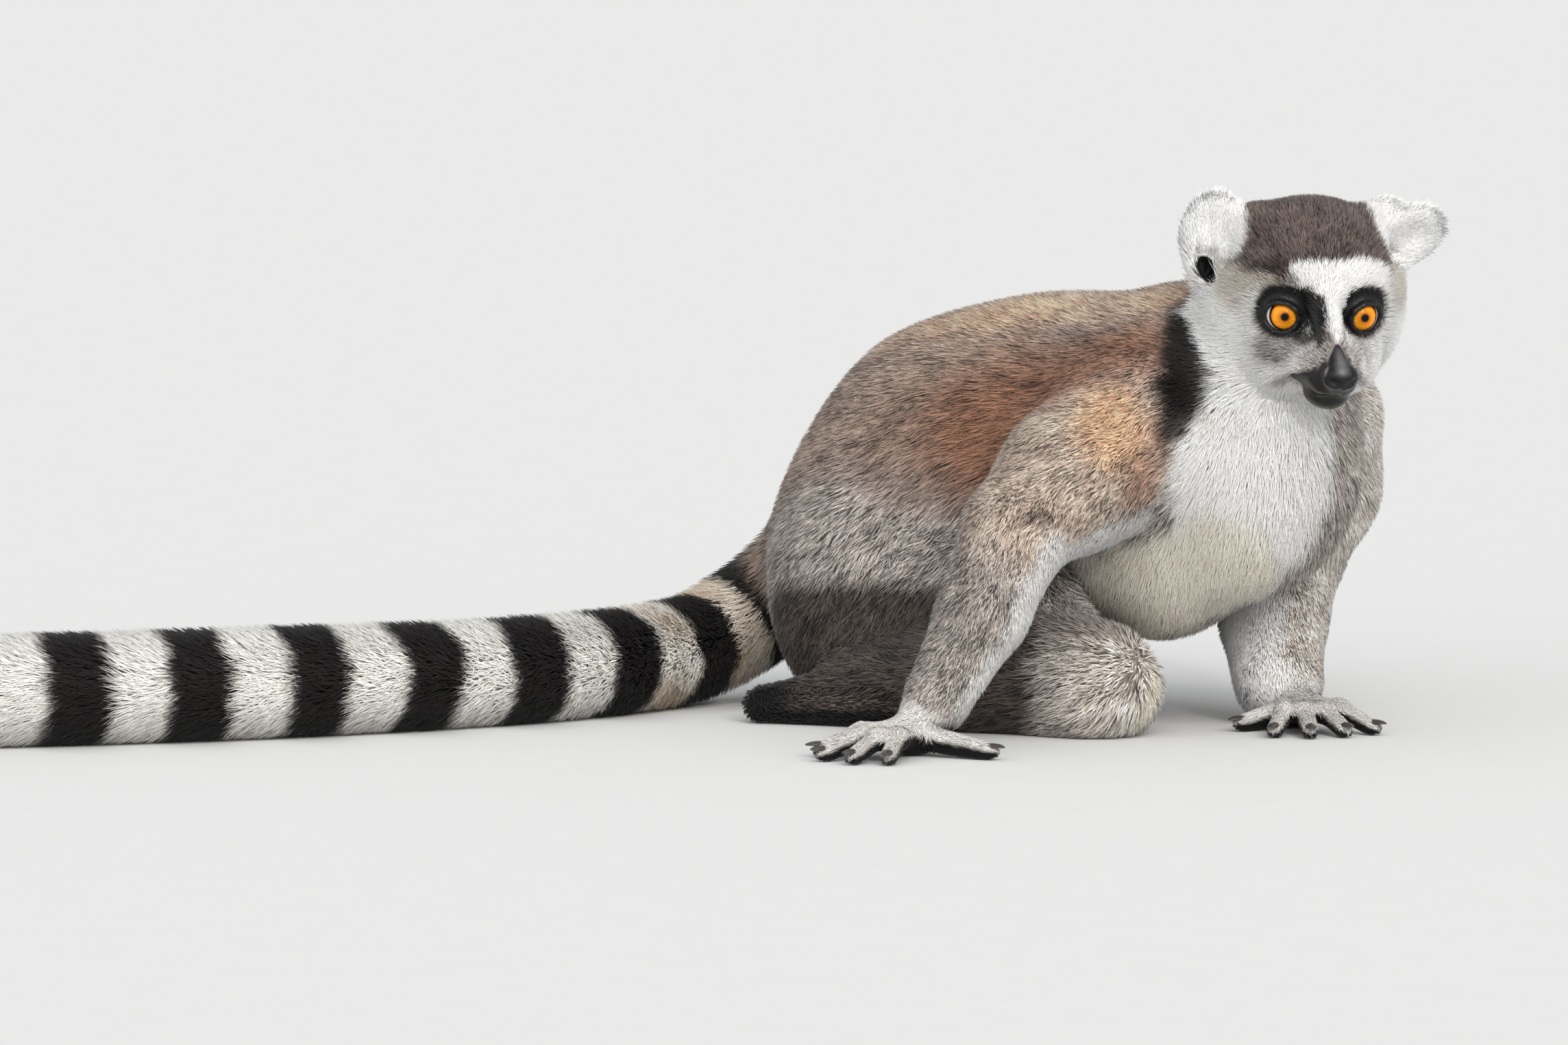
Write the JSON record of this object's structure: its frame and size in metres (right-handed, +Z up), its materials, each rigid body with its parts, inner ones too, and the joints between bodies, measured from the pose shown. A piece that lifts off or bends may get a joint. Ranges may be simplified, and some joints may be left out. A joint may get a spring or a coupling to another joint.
{
  "type": "ring-tailed lemur",
  "caption": "Life-size still model of a ring-tailed lemur crouching on its hands and haunches, head turned aside, long banded tail laid along the floor.",
  "frame": {"origin": "middle of the bounding box at floor level", "axes": "+Z up; +X the side that the body faces, with the tail running to -X; the chest and face turn towards -Y"},
  "size_m": [0.726, 0.372, 0.2182],
  "materials": {
    "dark_fur": "dense soft fur, nearly black collar",
    "white_fur": "long soft white fur",
    "brown_fur": "dense woolly fur, sandy brown over grey",
    "grey_fur": "dense salt-and-pepper grey fur",
    "face_fur": "short fur, white face with a grey cap and dark eye patches",
    "ringed_fur": "bushy fur in black and white rings",
    "hand_fur": "thin pale fur over dark bare pads",
    "bare_skin": "black leathery skin, satin",
    "nose_skin": "black, moist and pebbled",
    "eye": "clear domed cornea over an amber iris with a small black pupil"
  },
  "bodies": {
    "root": {"neck": "dark_fur", "chest": "white_fur", "belly": "brown_fur", "rump": "brown_fur", "upper_arm_right": "grey_fur", "upper_arm_left": "grey_fur", "forearm_right": "grey_fur", "forearm_left": "grey_fur", "thigh_right": "grey_fur", "thigh_left": "grey_fur", "shank_right": "grey_fur", "shank_left": "grey_fur", "head": "face_fur", "muzzle": "bare_skin", "nose": "nose_skin", "lower_jaw": "bare_skin", "ear_right": "white_fur", "ear_left": "white_fur", "eye_right": "eye", "eye_left": "eye", "hand_right": "hand_fur", "hand_left": "hand_fur", "foot_right": "hand_fur", "foot_left": "hand_fur", "tail_1": "ringed_fur", "tail_2": "ringed_fur", "tail_3": "ringed_fur", "tail_4": "ringed_fur", "tail_5": "ringed_fur", "tail_6": "ringed_fur", "tail_7": "ringed_fur"}
  },
  "joints": []
}
